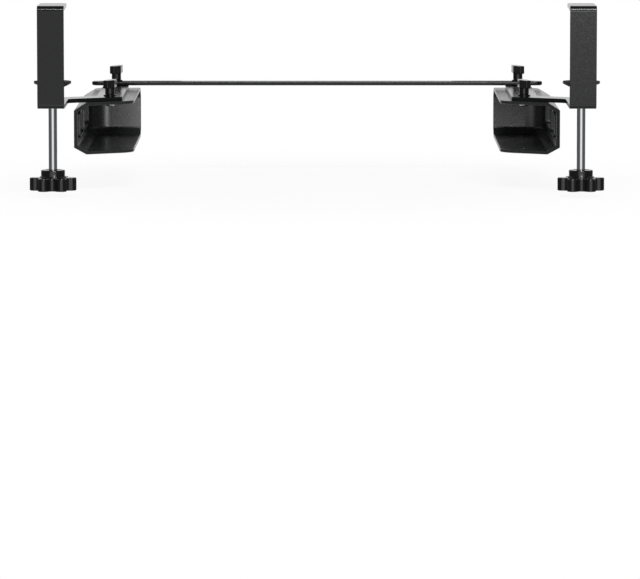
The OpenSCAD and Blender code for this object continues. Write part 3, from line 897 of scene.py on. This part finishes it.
class SHELF_OT_fasteners(bpy.types.Operator):
    """Pan head tray screws with their washers and wing knobs"""

    bl_idname = "shelf.fasteners"
    bl_label = "Fasteners"

    def execute(self, context):
        screw, edge = context.scene.shelf_screw, context.scene.shelf_edge.knob
        for side in SIDES:
            for end, washer_body in (("front", f"{side}_side"), ("rear", f"{side}_saddle")):
                node_name = f"{side}_{end}_screw"
                place, head_r, height = round_sizes(node_name)
                mesh = turned(context, screw_profile(screw, edge, head_r, height), place, "bright_steel")
                mesh = smooth(joined(context, mesh, cross_solid(screw, place), "DIFFERENCE"))
                mesh.set_sharp_from_angle(angle=math.radians(35))
                name = f"{side}_{end}_pan_screw"
                place_piece(context, name, mesh, f"{side}_side", "bright_steel", node_name)

                node_name = f"{side}_{end}_washer"
                _, washer_r, height = round_sizes(node_name)
                ring = washer_profile(context.scene.shelf_tray.hole_r, edge, washer_r, height)
                name = f"{side}_{end}_flat_washer"
                turned_piece(context, name, ring, washer_body, "black_steel", node_name)
        for end in ("front", "rear"):
            rounded_pair(
                context, merged_copy(f"right_{end}_wing_knob"), f"{end}_wing_nut", f"{end}_wing",
                "black_plastic", f"{end}_wing_knob", edge, sharper_than=30)
        return {"FINISHED"}


class SHELF_OT_liners(bpy.types.Operator):
    """Rubber liners under the jaws"""

    bl_idname = "shelf.liners"
    bl_label = "Jaw liners"

    def execute(self, context):
        liner_edge = context.scene.shelf_edge.knob / 2
        liner = merged_copy("right_jaw_liner")
        rounded_pair(context, liner, "liner", "side", "black_rubber", "jaw_liner", liner_edge)
        return {"FINISHED"}


# Stage


def studio_lamps(context):
    """A key light in front and above, fills from in front, and small lamps for the trays' closed corners."""
    # each lamp has its place, its aim, its width, its height, its watts and the only piece that it lights
    lamps = {
        "key_soft_box": ((0.34, -1.9, 1.85), (0.0, 0.1, -0.08), 1.5, 0.32, 60, None),
        "right_fill": ((0.36, -2.0, 0.20), (0.2, 0.2, -0.08), 0.4, 0.3, 3.5, None),
        # the right plate is the lighter one in the photograph
        "right_plate_fill": ((0.36, -2.0, 0.20), (0.2, 0.2, -0.08), 0.4, 0.3, 6, "right_clamp_strip"),
        # brings out the back wall of the left tray
        "left_tray_fill": ((-0.28, -2.0, 0.24), (-0.2, 0.3, -0.11), 0.5, 0.14, 2.4, "left_side_tray"),
        # beside the trays' open sides, to draw the upright line in each closed corner
        "left_tray_lamp": (
            (-0.163, 0.14, -0.123), (-0.19, 0.308, -0.115), 0.045, 0.04, 0.029, "left_side_tray"),
        "right_tray_lamp": (
            (0.137, 0.208, -0.118), (0.21, 0.308, -0.115), 0.045, 0.04, 0.007, "right_side_tray"),
    }
    for name, (place, aim, width, height, watts, only) in lamps.items():
        light = bpy.data.lights.new(name, "AREA")
        light.shape = "RECTANGLE"
        light.size = width
        light.size_y = height
        light.energy = watts
        holder = linked(context, name, light)
        holder.location = place
        holder.rotation_euler = (Vector(aim) - Vector(place)).to_track_quat("-Z", "Y").to_euler()
        holder.visible_camera = False
        if only:
            lit = bpy.data.collections.new(name)
            lit.objects.link(bpy.data.objects[only])
            holder.light_linking.receiver_collection = lit


def studio_floor(context):
    """A round white floor just under the knobs, which keeps their shadow and fades into the white ground."""
    stage = context.scene.shelf_stage
    radius, fade_start, corners = stage.floor_r, 0.25 * stage.floor_r, 64
    floor_z = cad_box[0][2] - stage.drop
    disc = bpy.data.meshes.new("floor")
    ring = [(x, y, floor_z) for x, y in arc((0, stage.floor_y), radius, 0, 360, corners)[:-1]]
    disc.from_pydata(ring, [], [range(corners)])
    floor = linked(context, "studio_floor", disc)
    # white paper: a strength of 1 on camera rays is white, and a share of plain paper keeps the shadow;
    # mirror rays pass through, so that the knobs and rods show the studio
    paper, tree, shader, place = new_material("White paper floor")
    fibre = add(tree, "ShaderNodeTexNoise", {"Vector": place, "Scale": 1.0 / (0.6 * MM)}).outputs[0]
    surface(tree, shader, fibre, (linear("#f0f0f0"), linear("#f6f6f6")), roughness=(0.88, 0.92))
    path = add(tree, "ShaderNodeLightPath").outputs
    share = add(tree, "ShaderNodeMath", {0: path["Is Camera Ray"], 1: stage.glow}, operation="MULTIPLY")
    glow = add(tree, "ShaderNodeEmission", {"Color": (1, 1, 1, 1), "Strength": 1.0})
    lit = add(
        tree, "ShaderNodeMixShader", {0: share.outputs[0], 1: shader.outputs[0], 2: glow.outputs[0]})
    away = add(
        tree, "ShaderNodeVectorMath", {0: place, 1: (0, stage.floor_y, floor_z)},
        operation="DISTANCE").outputs["Value"]
    fade = add(
        tree, "ShaderNodeMapRange",
        {"Value": away, "From Min": fade_start, "From Max": radius, "To Min": 0.0, "To Max": 1.0},
        interpolation_type="SMOOTHSTEP").outputs[0]
    # clear where it has faded, for mirror rays, and seen from below
    under = add(tree, "ShaderNodeNewGeometry").outputs["Backfacing"]
    gone = add(tree, "ShaderNodeMath", {0: fade, 1: path["Is Glossy Ray"]}, operation="MAXIMUM").outputs[0]
    gone = add(tree, "ShaderNodeMath", {0: gone, 1: under}, operation="MAXIMUM").outputs[0]
    clear = add(tree, "ShaderNodeBsdfTransparent").outputs[0]
    mix = add(tree, "ShaderNodeMixShader", {0: gone, 1: lit.outputs[0], 2: clear}).outputs[0]
    output = next(n for n in tree.nodes if n.type == "OUTPUT_MATERIAL")
    tree.links.new(mix, output.inputs["Surface"])
    disc.materials.append(paper)
    return floor


def studio_world():
    """The studio that the shelf reflects, of bright panels on a dim ground. The camera sees plain white."""
    world = bpy.data.worlds.new("Studio")
    world.use_nodes = True
    tree = world.node_tree
    tree.nodes.clear()
    heading = add(tree, "ShaderNodeTexCoord").outputs["Generated"]
    x, y, z = add(tree, "ShaderNodeSeparateXYZ", {"Vector": heading}).outputs
    # headings run from -1 to 1, so a panel that ends at past has no edge on that side
    past = 1.5
    # each panel has its strength, and the bands it lies in as heading, low end, high end and softness
    panels = {
        "white wall behind": (0.85, (y, 0.90, past, 0.05), (z, -past, 0.35, 0.10)),
        "window round the camera": (
            1.0, (y, -past, -0.3, 0.1), (x, -0.40, 0.48, 0.22), (z, -0.8, 0.25, 0.1)),
        "soft panels above the sides": (0.45, (y, -0.35, past, 0.15), (z, 0.30, 0.68, 0.10)),
        "pale ground": (0.6, (z, -past, -0.40, 0.15)),
    }
    # the dim ground between them
    level = 0.12
    for light, *bands in panels.values():
        for value, low, high, soft in bands:
            for end, start, stop in ((low, 0.0, 1.0), (high, 1.0, 0.0)):
                slope = add(
                    tree, "ShaderNodeMapRange",
                    {"Value": value, "From Min": end - soft, "From Max": end + soft,
                     "To Min": start, "To Max": stop}, interpolation_type="SMOOTHSTEP").outputs[0]
                light = add(tree, "ShaderNodeMath", {0: light, 1: slope}, operation="MULTIPLY").outputs[0]
        level = add(tree, "ShaderNodeMath", {0: level, 1: light}, operation="ADD").outputs[0]
    studio = add(tree, "ShaderNodeBackground", {"Color": (1, 1, 1, 1), "Strength": level}).outputs[0]
    white = add(tree, "ShaderNodeBackground", {"Color": (1, 1, 1, 1), "Strength": 1.0}).outputs[0]
    seen = add(tree, "ShaderNodeLightPath").outputs["Is Camera Ray"]
    mix = add(tree, "ShaderNodeMixShader", {0: seen, 1: studio, 2: white}).outputs[0]
    add(tree, "ShaderNodeOutputWorld", {"Surface": mix})
    return world


def photograph_camera(context):
    """The camera of the photograph, which stands far in front and looks down a little."""
    stage = context.scene.shelf_stage
    camera = bpy.data.cameras.new("Camera")
    camera.lens = stage.lens
    camera.sensor_width = 36
    camera.sensor_fit = "HORIZONTAL"
    camera.clip_end = 60
    holder = linked(context, "Camera", camera)
    holder.location = (stage.side, cad_box[0][1] - stage.distance, stage.level)
    holder.rotation_euler = (math.pi / 2 - stage.pitch, 0, 0)
    return holder


class SHELF_OT_stage(bpy.types.Operator):
    """Pale floor, soft studio light and the camera of the photograph"""

    bl_idname = "shelf.stage"
    bl_label = "Stage"

    def execute(self, context):
        scene = context.scene
        floor = studio_floor(context)
        scene.world = studio_world()
        studio_lamps(context)
        scene.camera = photograph_camera(context)
        scene.view_settings.view_transform = "Standard"
        return {"FINISHED"}


# Panel and registration


class SHELF_PT_panel(bpy.types.Panel):
    """Sizes, colours and steps of the shelf"""

    bl_label = "Desk Shelf"
    bl_idname = "SHELF_PT_panel"
    bl_space_type = "VIEW_3D"
    bl_region_type = "UI"
    bl_category = "Desk Shelf"

    def draw(self, context):
        for group in GROUPS:
            settings = getattr(context.scene, group)
            box = self.layout.box()
            for name in settings.bl_rna.properties.keys():
                if name not in ("rna_type", "name"):
                    box.prop(settings, name)
        for operator in OPERATORS:
            self.layout.operator(operator.bl_idname)


GROUPS = {
    "shelf_finish": FinishSettings,
    "shelf_edge": EdgeSettings,
    "shelf_tray": TraySettings,
    "shelf_knob": KnobSettings,
    "shelf_pad": PadSettings,
    "shelf_screw": ScrewSettings,
    "shelf_stage": StageSettings,
}
OPERATORS = (
    SHELF_OT_steel, SHELF_OT_trays, SHELF_OT_clamps, SHELF_OT_pads, SHELF_OT_fasteners, SHELF_OT_liners,
    SHELF_OT_stage)
CLASSES = (*GROUPS.values(), *OPERATORS, SHELF_PT_panel)


def register():
    for cls in CLASSES:
        bpy.utils.register_class(cls)
    for name, cls in GROUPS.items():
        setattr(bpy.types.Scene, name, PointerProperty(type=cls))


def unregister():
    for name in GROUPS:
        delattr(bpy.types.Scene, name)
    for cls in reversed(CLASSES):
        bpy.utils.unregister_class(cls)


def main():
    register()
    for operator in OPERATORS:
        group, name = operator.bl_idname.split(".")
        getattr(getattr(bpy.ops, group), name)()


if __name__ == "__main__":
    main()
